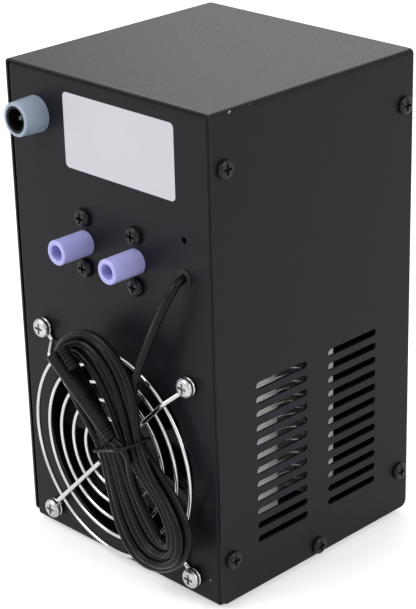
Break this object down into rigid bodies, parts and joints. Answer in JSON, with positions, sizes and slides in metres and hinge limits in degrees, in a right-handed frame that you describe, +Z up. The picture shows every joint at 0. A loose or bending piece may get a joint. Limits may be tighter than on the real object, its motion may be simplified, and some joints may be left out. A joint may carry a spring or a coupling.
{
  "type": "aquarium chiller",
  "caption": "Upright folded-steel aquarium chiller with a fan behind a wire guard, two water tubes, a power jack, a thermostat panel and a tied sensor cord.",
  "frame": {"origin": "bottom centre of the object without its sensor cord, level with the underside of the feet", "axes": "+Z up, +X to the right across the port panel, the port panel with the fan faces -Y and the thermostat faces +Y"},
  "size_m": [0.1158, 0.1358, 0.202],
  "materials": {
    "case_coat": "satin powder coat",
    "black_steel": "black oxide",
    "nickel": "satin nickel",
    "guard_chrome": "bright chrome",
    "port_purple": "anodised",
    "label_stock": "smooth",
    "collar_grey": "satin",
    "black_plastic": "matte",
    "aluminium": "mill",
    "copper": "bare",
    "brass": "bare",
    "rubber": "matte",
    "foam": "cellular",
    "cord_jacket": "satin",
    "cord_plastic": "satin",
    "ceramic": "satin",
    "board_green": "solder mask",
    "part_black": "moulded",
    "terminal_green": "moulded",
    "wire_jacket": "satin",
    "lens_dark": "gloss",
    "key_grey": "satin"
  },
  "bodies": {
    "case": {"board_capacitors": "part_black", "board_screws": "nickel", "board_standoffs": "brass", "chassis": "case_coat", "clamp_screws": "nickel", "control_board": "board_green", "cooler_base": "aluminium", "cooling_module": "ceramic", "cord_grommet": "rubber", "cord_sleeve": "cord_plastic", "cord_tie": "cord_plastic", "cover": "case_coat", "display_lens": "lens_dark", "display_module": "part_black", "fan_bearing": "brass", "fan_frame": "black_plastic", "fan_guard": "guard_chrome", "fan_stator": "copper", "fin_stack": "aluminium", "foam_ring": "foam", "guard_nuts": "nickel", "guard_screws": "nickel", "heat_pipes": "copper", "key_switches": "part_black", "port_screws": "black_steel", "power_jack_body": "black_plastic", "power_jack_collar": "collar_grey", "power_jack_nut": "nickel", "power_jack_pin": "nickel", "probe_body": "cord_plastic", "probe_relief": "cord_plastic", "rating_label": "label_stock", "rubber_feet": "rubber", "sensor_cord_hank": "cord_jacket", "sensor_cord_lead": "cord_jacket", "side_screws": "black_steel", "terminal_block": "terminal_green", "thermostat_bezel": "black_plastic", "water_block": "aluminium", "water_block_gasket": "rubber", "water_block_lid": "aluminium", "water_inlet_port": "port_purple", "water_outlet_port": "port_purple", "wiring": "wire_jacket"},
    "rotor": {"fan_rotor": "black_plastic", "fan_shaft": "nickel"},
    "key_set": {"key_set": "key_grey"},
    "key_up": {"key_up": "key_grey"},
    "key_down": {"key_down": "key_grey"}
  },
  "joints": [
    {"name": "fan_spin", "type": "hinge", "parent": "case", "child": "rotor", "pos_m": [0, -0.0359, 0.052], "axis": [0, 1, 0], "continuous": true},
    {"name": "key_set_press", "type": "slide", "parent": "case", "child": "key_set", "axis": [0, -1, 0], "range_m": [0, 0.0005], "stiffness_N_per_m": 400},
    {"name": "key_up_press", "type": "slide", "parent": "case", "child": "key_up", "axis": [0, -1, 0], "range_m": [0, 0.0005], "stiffness_N_per_m": 400},
    {"name": "key_down_press", "type": "slide", "parent": "case", "child": "key_down", "axis": [0, -1, 0], "range_m": [0, 0.0005], "stiffness_N_per_m": 400}
  ]
}
